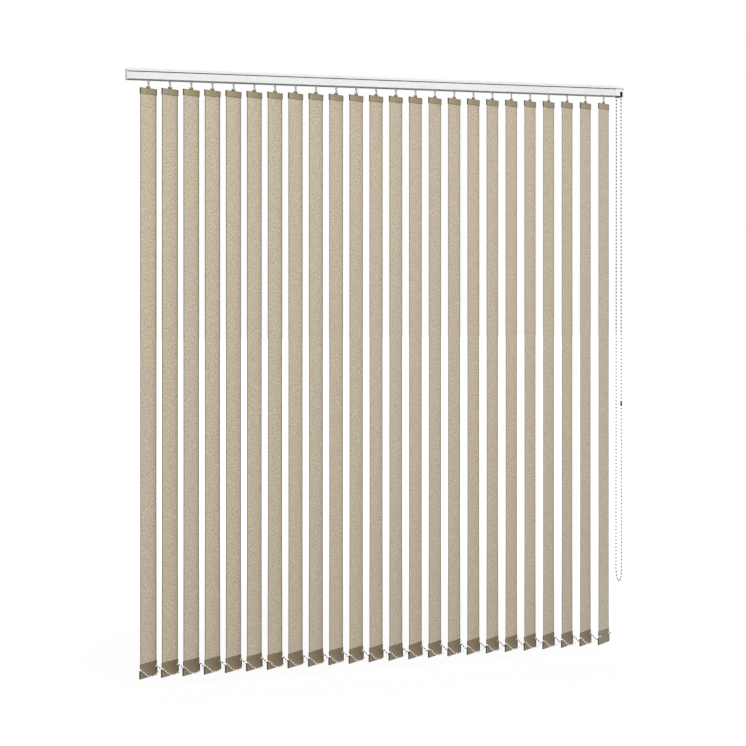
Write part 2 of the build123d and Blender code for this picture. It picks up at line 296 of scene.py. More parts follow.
class EffectGroups:
    """Shader node groups for the effects that several finishes share."""

    def __init__(self) -> None:
        """Build each group once."""
        self.weave = self._weave()
        self.wear = self._edge_wear()
        self.dust = self._dust()
        self.grain = self._grain()
        self.outline = self._outline()

    @staticmethod
    def _group(name: str, inputs: Sequence[tuple[str, str, object]], outputs: Sequence[tuple[str, str]]) -> NodeTree:
        """Start a group with its sockets.

        Args:
            name: The group's name.
            inputs: Name, socket type and default of each input.
            outputs: Name and socket type of each output.

        Returns:
            The group's tree, wrapped.
        """
        group = bpy.data.node_groups.new(name, "ShaderNodeTree")
        for label, kind, default in inputs:
            socket = group.interface.new_socket(label, in_out="INPUT", socket_type=kind)
            if default is not None:
                socket.default_value = default
        for label, kind in outputs:
            group.interface.new_socket(label, in_out="OUTPUT", socket_type=kind)
        return NodeTree(group)

    def _weave(self) -> bpy.types.NodeTree:
        """Build the plain weave with slubs in both thread directions.

        Returns:
            The node group, with the cloth's colour, its height and a mask of raised threads.
        """
        t = self._group(
            "Weave",
            [
                ("Place", "NodeSocketVector", None),
                ("Thread", "NodeSocketFloat", 0.001),
                ("Slub", "NodeSocketFloat", 0.5),
                ("Warp", "NodeSocketColor", (0.5, 0.5, 0.5, 1)),
                ("Weft", "NodeSocketColor", (0.5, 0.5, 0.5, 1)),
                ("Tint", "NodeSocketColor", (0.5, 0.5, 0.5, 1)),
            ],
            [("Colour", "NodeSocketColor"), ("Height", "NodeSocketFloat"), ("Raised", "NodeSocketFloat")],
        )
        source = t.add("NodeGroupInput")
        sink = t.add("NodeGroupOutput")
        parts = t.add("ShaderNodeSeparateXYZ")
        t.link(source.outputs["Place"], parts.inputs[0])
        across = t.math("DIVIDE", parts.outputs[0], source.outputs["Thread"])
        along = t.math("DIVIDE", parts.outputs[1], source.outputs["Thread"])
        warp_wave = t.math("SINE", t.math("MULTIPLY", across, math.pi))
        weft_wave = t.math("SINE", t.math("MULTIPLY", along, math.pi))
        over = t.math("MULTIPLY", warp_wave, weft_wave)
        raised = t.math("MULTIPLY_ADD", over, 0.5, 0.5)
        slubs = []
        for stretch in ((0.09, 1.6), (1.5, 0.10)):
            place = t.add("ShaderNodeCombineXYZ")
            t.link(t.math("MULTIPLY", across, stretch[0]), place.inputs[0])
            t.link(t.math("MULTIPLY", along, stretch[1]), place.inputs[1])
            cloud = t.add("ShaderNodeTexNoise", noise_dimensions="2D")
            cloud.inputs["Scale"].default_value = 1.0
            cloud.inputs["Detail"].default_value = 3.0
            t.link(place.outputs[0], cloud.inputs["Vector"])
            slubs.append(t.math("SUBTRACT", cloud.outputs["Fac"], 0.5))
        both = t.math("ADD", slubs[0], slubs[1])
        mottle = t.add("ShaderNodeTexNoise", noise_dimensions="2D")
        mottle.inputs["Scale"].default_value = 160.0
        mottle.inputs["Detail"].default_value = 5.0
        t.link(source.outputs["Place"], mottle.inputs["Vector"])
        cloudy = t.math("SUBTRACT", mottle.outputs["Fac"], 0.5)
        tone = t.math("MULTIPLY", t.math("ADD", t.math("MULTIPLY", both, 0.8), cloudy), source.outputs["Slub"])
        blend = t.ramp(t.math("ADD", tone, t.math("MULTIPLY", raised, 0.35)), -0.35, 0.6)
        colour = t.mix(blend, source.outputs["Weft"], source.outputs["Warp"])
        dye = t.add("ShaderNodeTexNoise", noise_dimensions="2D")
        dye.inputs["Scale"].default_value = 34.0
        dye.inputs["Detail"].default_value = 6.0
        t.link(source.outputs["Place"], dye.inputs["Vector"])
        dyed = t.mix(t.ramp(dye.outputs["Fac"], 0.38, 0.66), colour, source.outputs["Tint"], "MULTIPLY")
        t.link(dyed, sink.inputs["Colour"])
        t.link(t.math("ADD", t.math("MULTIPLY", raised, 0.8), t.math("MULTIPLY", both, 0.9)), sink.inputs["Height"])
        t.link(raised, sink.inputs["Raised"])
        return t.tree

    def _edge_wear(self) -> bpy.types.NodeTree:
        """Build the mask of rubbed edges.

        Returns:
            The node group, with a mask that is 1 on a rubbed edge.
        """
        t = self._group("EdgeWear", [("Amount", "NodeSocketFloat", 0.3)], [("Mask", "NodeSocketFloat")])
        source = t.add("NodeGroupInput")
        sink = t.add("NodeGroupOutput")
        shape = t.add("ShaderNodeNewGeometry")
        edge = t.ramp(shape.outputs["Pointiness"], 0.505, 0.56)
        place = t.add("ShaderNodeTexCoord")
        cloud = t.add("ShaderNodeTexNoise")
        cloud.inputs["Scale"].default_value = 60.0
        cloud.inputs["Detail"].default_value = 4.0
        t.link(place.outputs["Object"], cloud.inputs["Vector"])
        broken = t.ramp(cloud.outputs["Fac"], 0.35, 0.65)
        t.link(t.math("MULTIPLY", t.math("MULTIPLY", edge, broken), source.outputs["Amount"]), sink.inputs["Mask"])
        return t.tree

    def _dust(self) -> bpy.types.NodeTree:
        """Build the mask of dust on faces that look up.

        Returns:
            The node group, with a mask that is 1 where dust lies thick.
        """
        t = self._group("Dust", [("Amount", "NodeSocketFloat", 0.2)], [("Mask", "NodeSocketFloat")])
        source = t.add("NodeGroupInput")
        sink = t.add("NodeGroupOutput")
        shape = t.add("ShaderNodeNewGeometry")
        parts = t.add("ShaderNodeSeparateXYZ")
        t.link(shape.outputs["Normal"], parts.inputs[0])
        upward = t.ramp(parts.outputs[2], 0.55, 1.0)
        place = t.add("ShaderNodeTexCoord")
        cloud = t.add("ShaderNodeTexNoise")
        cloud.inputs["Scale"].default_value = 35.0
        cloud.inputs["Detail"].default_value = 5.0
        t.link(place.outputs["Object"], cloud.inputs["Vector"])
        t.link(t.math("MULTIPLY", t.math("MULTIPLY", upward, cloud.outputs["Fac"]), source.outputs["Amount"]), sink.inputs["Mask"])
        return t.tree

    def _outline(self) -> bpy.types.NodeTree:
        """Build the masks of a flat moulding's outline.

        Returns:
            The node group, with a mask along every edge and one at the two ends.
        """
        sizes = [(label, "NodeSocketFloat", 0.01) for label in ("Half", "Low", "High", "Band")]
        t = self._group(
            "Outline",
            [("Place", "NodeSocketVector", None), *sizes],
            [("Edges", "NodeSocketFloat"), ("Ends", "NodeSocketFloat")],
        )
        source = t.add("NodeGroupInput")
        sink = t.add("NodeGroupOutput")
        parts = t.add("ShaderNodeSeparateXYZ")
        t.link(source.outputs["Place"], parts.inputs[0])
        band = source.outputs["Band"]
        to_end = t.math("SUBTRACT", source.outputs["Half"], t.math("ABSOLUTE", parts.outputs[0]))
        to_low = t.math("SUBTRACT", parts.outputs[2], source.outputs["Low"])
        to_high = t.math("SUBTRACT", source.outputs["High"], parts.outputs[2])
        inset = t.math("MINIMUM", to_end, t.math("MINIMUM", to_low, to_high))
        narrow = t.math("MULTIPLY", band, 0.35)
        t.link(t.math("SUBTRACT", 1.0, t.ramp(inset, narrow, band)), sink.inputs["Edges"])
        t.link(t.math("SUBTRACT", 1.0, t.ramp(to_end, band, t.math("MULTIPLY", band, 2.2))), sink.inputs["Ends"])
        return t.tree

    def _grain(self) -> bpy.types.NodeTree:
        """Build the fine grain of a moulded or coated surface.

        Returns:
            The node group, with the grain's height and a slow change of tone.
        """
        t = self._group("Grain", [("Size", "NodeSocketFloat", 900.0)], [("Height", "NodeSocketFloat"), ("Tone", "NodeSocketFloat")])
        source = t.add("NodeGroupInput")
        sink = t.add("NodeGroupOutput")
        place = t.add("ShaderNodeTexCoord")
        fine = t.add("ShaderNodeTexNoise")
        fine.inputs["Detail"].default_value = 2.0
        t.link(place.outputs["Object"], fine.inputs["Vector"])
        t.link(source.outputs["Size"], fine.inputs["Scale"])
        slow = t.add("ShaderNodeTexNoise")
        slow.inputs["Scale"].default_value = 14.0
        slow.inputs["Detail"].default_value = 3.0
        t.link(place.outputs["Object"], slow.inputs["Vector"])
        t.link(fine.outputs["Fac"], sink.inputs["Height"])
        t.link(slow.outputs["Fac"], sink.inputs["Tone"])
        return t.tree


class MaterialShop:
    """Makes one material from each finish, with the shared effects."""

    def __init__(self) -> None:
        """Build the effect groups."""
        self.effects = EffectGroups()

    @staticmethod
    def _start(name: str) -> tuple[bpy.types.Material, NodeTree, bpy.types.Node]:
        """Start a material with its shader and output.

        Args:
            name: The material's name.

        Returns:
            The material, its tree and its Principled BSDF.
        """
        material = bpy.data.materials.new(name)
        material.use_nodes = True
        material.node_tree.nodes.clear()
        tree = NodeTree(material.node_tree)
        shader = tree.add("ShaderNodeBsdfPrincipled")
        output = tree.add("ShaderNodeOutputMaterial")
        tree.link(shader.outputs[0], output.inputs["Surface"])
        return material, tree, shader

    @staticmethod
    def _effect(tree: NodeTree, group: bpy.types.NodeTree, **inputs: object) -> bpy.types.Node:
        """Add one of the effect groups to a material.

        Args:
            tree: The material's tree.
            group: The effect's node group.
            **inputs: Values of the group's inputs, by name.

        Returns:
            The group's node.
        """
        node = tree.add("ShaderNodeGroup", node_tree=group)
        for label, value in inputs.items():
            node.inputs[label].default_value = value
        return node

    def plastic(self, finish: PlasticFinish) -> bpy.types.Material:
        """Make a moulded plastic.

        Args:
            finish: Its colour, gloss and wear.

        Returns:
            The material.
        """
        material, tree, shader = self._start(finish.name)
        grain = self._effect(tree, self.effects.grain, Size=finish.grain_size)
        wear = self._effect(tree, self.effects.wear, Amount=finish.rub)
        dust = self._effect(tree, self.effects.dust, Amount=finish.dust)
        darker = tuple(0.9 * c for c in finish.colour)
        lighter = tuple(min(1.0, 1.05 * c + 0.01) for c in finish.colour)
        base = tree.mix(tree.ramp(grain.outputs["Tone"], 0.3, 0.7), darker, lighter)
        rubbed = tree.mix(wear.outputs["Mask"], base, tuple(min(1.0, 1.25 * c + 0.03) for c in finish.colour))
        if finish.rim:
            rubbed = self._rim(tree, rubbed, finish.rim)
        if finish.fade:
            rubbed = self._fade(tree, rubbed, finish.fade)
        dusty = tree.mix(dust.outputs["Mask"], rubbed, (0.55, 0.53, 0.5))
        tree.link(dusty, shader.inputs["Base Color"])
        rough = tree.math("MULTIPLY_ADD", grain.outputs["Tone"], 0.14, finish.roughness - 0.07)
        tree.link(tree.math("ADD", rough, tree.math("MULTIPLY", dust.outputs["Mask"], 0.3)), shader.inputs["Roughness"])
        bump = tree.add("ShaderNodeBump", in_Strength=finish.grain, in_Distance=0.00012)
        tree.link(grain.outputs["Height"], bump.inputs["Height"])
        tree.link(bump.outputs[0], shader.inputs["Normal"])
        shader.inputs["IOR"].default_value = 1.49
        if finish.subsurface:
            shader.inputs["Subsurface Weight"].default_value = finish.subsurface
            shader.inputs["Subsurface Radius"].default_value = (0.004, 0.003, 0.002)
            shader.inputs["Subsurface Scale"].default_value = 1.0
        return material

    def _rim(self, tree: NodeTree, base: bpy.types.NodeSocket, rim: Rim) -> bpy.types.NodeSocket:
        """Paint shade on a moulding along its outline and at its two ends.

        Args:
            tree: The material's tree.
            base: The moulding's colour.
            rim: The outline's sizes and its painted shade colours.

        Returns:
            The colour with the painted shade.
        """
        place = tree.add("ShaderNodeTexCoord")
        sizes = {"Half": rim.half, "Low": rim.low, "High": rim.high, "Band": rim.band}
        outline = self._effect(tree, self.effects.outline, **sizes)
        tree.link(place.outputs["Object"], outline.inputs["Place"])
        edged = tree.mix(outline.outputs["Edges"], base, rim.colour)
        return tree.mix(outline.outputs["Ends"], edged, rim.ends)

    @staticmethod
    def _fade(tree: NodeTree, base: bpy.types.NodeSocket, fade: Fade) -> bpy.types.NodeSocket:
        """Paint shade down a moulding's height, as a change of tone.

        Args:
            tree: The material's tree.
            base: The moulding's colour.
            fade: Where the change starts and ends, and what it leads to.

        Returns:
            The colour with the change.
        """
        place = tree.add("ShaderNodeTexCoord")
        parts = tree.add("ShaderNodeSeparateXYZ")
        tree.link(place.outputs["Object"], parts.inputs[0])
        return tree.mix(tree.ramp(parts.outputs[2], fade.low, fade.high), fade.colour, base)

    def housing(self, finish: PlasticFinish, inside: Colour) -> bpy.types.Material:
        """Make the plastic of the rail's ends, with painted shade along its groove line, on its underside and on the
        rear of its left end, its cavity painted very dark as shade, and the chain guide very dark.

        Args:
            finish: The shell's finish.
            inside: The very dark colour of the cavity, where it is painted shade, and of the guide.

        Returns:
            The material.
        """
        material = self.plastic(finish)
        tree = NodeTree(material.node_tree)
        shader = next(n for n in tree.tree.nodes if n.type == "BSDF_PRINCIPLED")
        shell = shader.inputs["Base Color"].links[0].from_socket
        place = tree.add("ShaderNodeTexCoord")
        parts = tree.add("ShaderNodeSeparateXYZ")
        tree.link(place.outputs["Object"], parts.inputs[0])
        x, y, z = parts.outputs[0], tree.math("ABSOLUTE", parts.outputs[1]), parts.outputs[2]
        checks = (
            tree.math("GREATER_THAN", x, 0.9660),
            tree.math("LESS_THAN", x, 0.9985),
            tree.math("LESS_THAN", y, 0.0236),
            tree.math("LESS_THAN", z, -0.0018),
            tree.math("GREATER_THAN", z, -0.0386),
        )
        # The cavity inside the control housing is painted very dark as shade; the chain guide below gets the same
        # colour.
        cavity = checks[0]
        for check in checks[1:]:
            cavity = tree.math("MULTIPLY", cavity, check)
        guide = tree.math("LESS_THAN", z, -0.0402)
        dark = tree.math("MAXIMUM", cavity, guide)
        # Painted shade: the groove line on the faces, the underside and the rear of the left end are darkened.
        line = tree.math("MULTIPLY", tree.math("GREATER_THAN", z, -0.0130), tree.math("LESS_THAN", z, -0.0098))
        groove_line_shade = tree.math("MULTIPLY", line, tree.math("GREATER_THAN", y, 0.0245))
        under = tree.math("LESS_THAN", z, -0.0392)
        rear = tree.math("GREATER_THAN", parts.outputs[1], 0.014)
        far_end = tree.math("MULTIPLY", tree.math("LESS_THAN", x, -0.9985), rear)
        shaded = tree.math("MAXIMUM", groove_line_shade, tree.math("MAXIMUM", under, far_end))
        lined = tree.mix(shaded, shell, (0.16, 0.16, 0.155))
        tree.link(tree.mix(dark, lined, inside), shader.inputs["Base Color"])
        return material

    def paint(self, finish: PaintFinish) -> bpy.types.Material:
        """Make a powder coat, with painted shade in the rail's groove and on its underside.

        Args:
            finish: Its colour, gloss and orange peel.

        Returns:
            The material.
        """
        material, tree, shader = self._start(finish.name)
        grain = self._effect(tree, self.effects.grain, Size=420.0)
        wear = self._effect(tree, self.effects.wear, Amount=finish.rub)
        dust = self._effect(tree, self.effects.dust, Amount=0.35)
        darker = tuple(0.965 * c for c in finish.colour)
        base = tree.mix(tree.ramp(grain.outputs["Tone"], 0.3, 0.7), darker, finish.colour)
        rubbed = tree.mix(wear.outputs["Mask"], base, (0.9, 0.9, 0.9))
        place = tree.add("ShaderNodeTexCoord")
        parts = tree.add("ShaderNodeSeparateXYZ")
        tree.link(place.outputs["Object"], parts.inputs[0])
        # Painted shade: the groove below the top lip and the underside of the rail are darkened towards the shade
        # colour.
        upper = tree.math("GREATER_THAN", parts.outputs[2], -0.0137)
        lower = tree.math("LESS_THAN", parts.outputs[2], -0.0095)
        sunk = tree.math("LESS_THAN", tree.math("ABSOLUTE", parts.outputs[1]), 0.0249)
        groove = tree.math("MULTIPLY", tree.math("MULTIPLY", upper, lower), sunk)
        under = tree.math("LESS_THAN", parts.outputs[2], -0.0388)
        shaded = tree.mix(tree.math("MAXIMUM", groove, under), rubbed, finish.painted_shade)
        tree.link(tree.mix(dust.outputs["Mask"], shaded, (0.6, 0.58, 0.55)), shader.inputs["Base Color"])
        tree.link(tree.math("MULTIPLY_ADD", grain.outputs["Tone"], 0.12, finish.roughness - 0.06), shader.inputs["Roughness"])
        bump = tree.add("ShaderNodeBump", in_Strength=finish.peel, in_Distance=0.0002)
        tree.link(grain.outputs["Height"], bump.inputs["Height"])
        tree.link(bump.outputs[0], shader.inputs["Normal"])
        shader.inputs["Coat Weight"].default_value = 0.08
        shader.inputs["Coat Roughness"].default_value = 0.4
        return material

    def cloth(self, finish: ClothFinish) -> bpy.types.Material:
        """Make the vanes' woven cloth, with painted shade along its long edges.

        Args:
            finish: Its threads, colours and the band of painted edge shade.

        Returns:
            The material.
        """
        material, tree, shader = self._start(finish.name)
        place = tree.add("ShaderNodeUVMap", uv_map="Cloth")
        weave = self._effect(
            tree,
            self.effects.weave,
            Thread=finish.thread,
            Slub=finish.slub,
            Warp=(*finish.warp, 1),
            Weft=(*finish.weft, 1),
            Tint=(*finish.tint, 1),
        )
        tree.link(place.outputs[0], weave.inputs["Place"])
        across = tree.add("ShaderNodeAttribute", attribute_name="across")
        start = 1 - 2 * finish.band / finish.width
        # Painted shade along both long edges of the cloth, darkest at the edge.
        edge = tree.ramp(across.outputs["Fac"], start, start + 0.5 * (1 - start))
        colour = tree.mix(edge, weave.outputs["Colour"], finish.edge)
        tree.link(colour, shader.inputs["Base Color"])
        height = tree.math("MULTIPLY", weave.outputs["Height"], tree.math("SUBTRACT", 1.0, tree.math("MULTIPLY", edge, 0.6)))
        bump = tree.add("ShaderNodeBump", in_Strength=0.55, in_Distance=0.00035)
        tree.link(height, bump.inputs["Height"])
        tree.link(bump.outputs[0], shader.inputs["Normal"])
        tree.link(tree.math("MULTIPLY_ADD", weave.outputs["Raised"], -0.12, 0.9), shader.inputs["Roughness"])
        shader.inputs["Sheen Weight"].default_value = 0.25
        shader.inputs["Sheen Roughness"].default_value = 0.45
        shader.inputs["Specular IOR Level"].default_value = 0.25
        return material

    def metal(self, finish: MetalFinish) -> bpy.types.Material:
        """Make an extruded metal.

        Args:
            finish: Its colour and gloss.

        Returns:
            The material.
        """
        material, tree, shader = self._start(finish.name)
        place = tree.add("ShaderNodeTexCoord")
        stretch = tree.add("ShaderNodeMapping")
        stretch.inputs["Scale"].default_value = (2.0, 900.0, 900.0)
        tree.link(place.outputs["Object"], stretch.inputs["Vector"])
        lines = tree.add("ShaderNodeTexNoise")
        lines.inputs["Scale"].default_value = 1.0
        tree.link(stretch.outputs[0], lines.inputs["Vector"])
        darker = tuple(0.85 * c for c in finish.colour)
        tree.link(tree.mix(lines.outputs["Fac"], darker, finish.colour), shader.inputs["Base Color"])
        tree.link(tree.math("MULTIPLY_ADD", lines.outputs["Fac"], 0.2, finish.roughness - 0.1), shader.inputs["Roughness"])
        shader.inputs["Metallic"].default_value = 1.0
        return material


@dataclass
class Palette:
    """The materials of the blind, made once."""

    shop: MaterialShop = field(default_factory=MaterialShop)

    def __post_init__(self) -> None:
        """Make each material from its finish."""
        white = (0.77, 0.77, 0.765)
        # The rail's second colour is painted shade for its groove and underside.
        self.rail = self.shop.paint(PaintFinish("rail_coat", (0.74, 0.74, 0.735), painted_shade=(0.09, 0.09, 0.086)))
        shell = PlasticFinish("housing_plastic", white, roughness=0.3)
        # The housing's very dark second colour is painted shade inside its cavity, and the chain guide's colour.
        self.housing = self.shop.housing(shell, (0.012, 0.012, 0.013))
        self.carrier = self.shop.plastic(PlasticFinish("carrier_plastic", (0.78, 0.78, 0.76), roughness=0.42))
        self.clip = self.shop.plastic(PlasticFinish("clip_plastic", (0.74, 0.74, 0.73), roughness=0.45))
        self.dark = self.shop.plastic(PlasticFinish("sprocket_plastic", (0.02, 0.02, 0.022), roughness=0.4))
        self.rod = self.shop.metal(MetalFinish("rod_metal", (0.72, 0.72, 0.73)))
        self.chain = self.shop.plastic(
            PlasticFinish("chain_plastic", (0.93, 0.93, 0.91), roughness=0.28)
        )
        # This dark colour is the control chain's and joiner's own grey, and painted shade on the rear bottom chain.
        self.grey_and_shaded_chain = self.shop.plastic(PlasticFinish("grey_chain_plastic", (0.028, 0.028, 0.026), roughness=0.32))
        # Painted shade: the hook's lower finger is greyed as shade.
        hook_finger_shade = Fade(-49.0 * MM, -56.0 * MM, (0.42, 0.42, 0.40))
        self.hook = self.shop.plastic(PlasticFinish("hook_plastic", (0.84, 0.84, 0.82), fade=hook_finger_shade))
        # Painted shade: the hangers' and weights' outlines are darkened and their ends made darkest, as shade on their
        # edges and end faces.
        end_face_shade = (0.028, 0.024, 0.017)
        hanger_edge_shade = Rim(43.5 * MM, -92.9 * MM, -69.8 * MM, 2.2 * MM, (0.17, 0.135, 0.08), end_face_shade)
        self.hanger = self.shop.plastic(
            PlasticFinish("hanger_plastic", (0.36, 0.29, 0.18), roughness=0.42, rub=0.3, rim=hanger_edge_shade)
        )
        weight_edge_shade = Rim(43.6 * MM, -2247.7 * MM, -2193.0 * MM, 1.6 * MM, (0.15, 0.12, 0.072), end_face_shade)
        self.weight = self.shop.plastic(
            PlasticFinish("weight_plastic", (0.25, 0.195, 0.118), roughness=0.45, rub=0.3, rim=weight_edge_shade)
        )
        self.cloth = self.shop.cloth(
            ClothFinish(
                "vane_cloth",
                warp=(0.74, 0.655, 0.50),
                weft=(0.455, 0.405, 0.305),
                # The edge colour is painted shade along the vanes' long edges.
                edge=(0.17, 0.145, 0.09),
                tint=(0.985, 0.935, 0.945),
            )
        )


# Mesh making


class Draft:
    """A mesh under construction, from solids drawn out of plain outlines."""

    def __init__(self) -> None:
        """Start with nothing."""
        self.verts: list[Point] = []
        self.faces: list[tuple[int, ...]] = []

    def prism(self, outline: Outline, axis: Axis, low: float, high: float) -> None:
        """Add a solid drawn out from an outline.

        Args:
            outline: Its points in the two other axes, in X, Y, Z order.
            axis: The direction it is drawn out.
            low: Where it starts along the axis.
            high: Where it ends along the axis.

        Returns:
            None.
        """
        start = len(self.verts)
        count = len(outline)
        for level in (low, high):
            for a, b in outline:
                point = [a, b]
                point.insert(axis.value, level)
                self.verts.append(tuple(point))
        first = tuple(range(start, start + count))
        second = tuple(range(start + count, start + 2 * count))
        self.faces.append(first[::-1])
        self.faces.append(second)
        for i in range(count):
            j = (i + 1) % count
            self.faces.append((first[i], first[j], second[j], second[i]))

    def box(self, low: Point, high: Point) -> None:
        """Add a box between two corners.

        Args:
            low: The lowest corner.
            high: The highest corner.

        Returns:
            None.
        """
        outline = [(low[0], low[1]), (high[0], low[1]), (high[0], high[1]), (low[0], high[1])]
        self.prism(outline, Axis.Z, low[2], high[2])

    def window_plate(self, outer: tuple[float, float, float, float], inner: tuple[float, float, float, float], half: float) -> None:
        """Add a plate in X and Z with a window through it.

        Args:
            outer: Lowest x, lowest z, highest x and highest z of the plate.
            inner: The same of the window.
            half: Half the plate's thickness in y.

        Returns:
            None.
        """
        start = len(self.verts)
        for y in (-half, half):
            for x0, z0, x1, z1 in (outer, inner):
                self.verts += [(x0, y, z0), (x1, y, z0), (x1, y, z1), (x0, y, z1)]
        for i in range(4):
            j = (i + 1) % 4
            front_out, front_in = (start + i, start + j), (start + 4 + i, start + 4 + j)
            back_out, back_in = (start + 8 + i, start + 8 + j), (start + 12 + i, start + 12 + j)
            self.faces.append((front_out[0], front_out[1], front_in[1], front_in[0]))
            self.faces.append((back_out[0], back_in[0], back_in[1], back_out[1]))
            self.faces.append((front_out[0], back_out[0], back_out[1], front_out[1]))
            self.faces.append((front_in[0], front_in[1], back_in[1], back_in[0]))

    def turned(self, profile: Outline, sides: int, centre: tuple[float, float] = (0.0, 0.0)) -> None:
        """Add a solid turned about a line along Z.

        Args:
            profile: Radius and z of each ring, from one end to the other.
            sides: How many sides the turned form has.
            centre: The line's x and y.

        Returns:
            None.
        """
        start = len(self.verts)
        for radius, z in profile:
            for k in range(sides):
                turn = 2 * math.pi * k / sides
                self.verts.append((centre[0] + radius * math.cos(turn), centre[1] + radius * math.sin(turn), z))
        for ring in range(len(profile) - 1):
            for k in range(sides):
                m = (k + 1) % sides
                a, b = start + ring * sides, start + (ring + 1) * sides
                self.faces.append((a + k, a + m, b + m, b + k))
        self.faces.append(tuple(start + k for k in reversed(range(sides))))
        last = start + (len(profile) - 1) * sides
        self.faces.append(tuple(last + k for k in range(sides)))

    def build(self, name: str, material: bpy.types.Material, bevel: float = 0.0, segments: int = 2) -> bpy.types.Object:
        """Turn the draft into an object.

        Args:
            name: The object's name.
            material: Its material.
            bevel: The width of its rounded edges, in metres.
            segments: How many faces each rounded edge has.

        Returns:
            The object, linked to the scene.
        """
        mesh = bpy.data.meshes.new(name)
        mesh.from_pydata(self.verts, [], self.faces)
        work = bmesh.new()
        work.from_mesh(mesh)
        bmesh.ops.recalc_face_normals(work, faces=work.faces)
        work.to_mesh(mesh)
        work.free()
        return place_mesh(mesh, name, material, bevel, segments)


def place_mesh(
    mesh: bpy.types.Mesh, name: str, material: bpy.types.Material, bevel: float = 0.0, segments: int = 2
) -> bpy.types.Object:
    """Link a mesh as an object with smooth shading and rounded edges.

    Args:
        mesh: The mesh.
        name: The object's name.
        material: Its material.
        bevel: The width of its rounded edges, in metres.
        segments: How many faces each rounded edge has.

    Returns:
        The object.
    """
    mesh.materials.append(material)
    mesh.shade_smooth()
    mesh.set_sharp_from_angle(angle=math.radians(38))
    made = bpy.data.objects.new(name, mesh)
    bpy.context.scene.collection.objects.link(made)
    if bevel:
        rounded = made.modifiers.new("rounded_edges", "BEVEL")
        rounded.width = bevel
        rounded.segments = segments
        rounded.limit_method = "ANGLE"
        rounded.angle_limit = math.radians(35)
        rounded.harden_normals = True
    return made


# Sub-assemblies


@dataclass
class Headrail:
    """The rail, its ends, the ceiling clips and the tilt drive, which keep their solids."""

    palette: Palette

    def dress(self) -> None:
        """Give each carried-over solid its material.

        Returns:
            None.
        """
        wanted = {
            "headrail": self.palette.rail,
            "end_cap_left": self.palette.housing,
            "control_housing": self.palette.housing,
            "mounting_clips": self.palette.clip,
            "tilt_rod": self.palette.rod,
            "chain_sprocket": self.palette.dark,
        }
        for number in range(1, LAYOUT.count + 1):
            wanted[f"truck_{number:02d}"] = self.palette.carrier
        for name, material in wanted.items():
            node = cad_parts[name]
            node.data.materials.clear()
            node.data.materials.append(material)


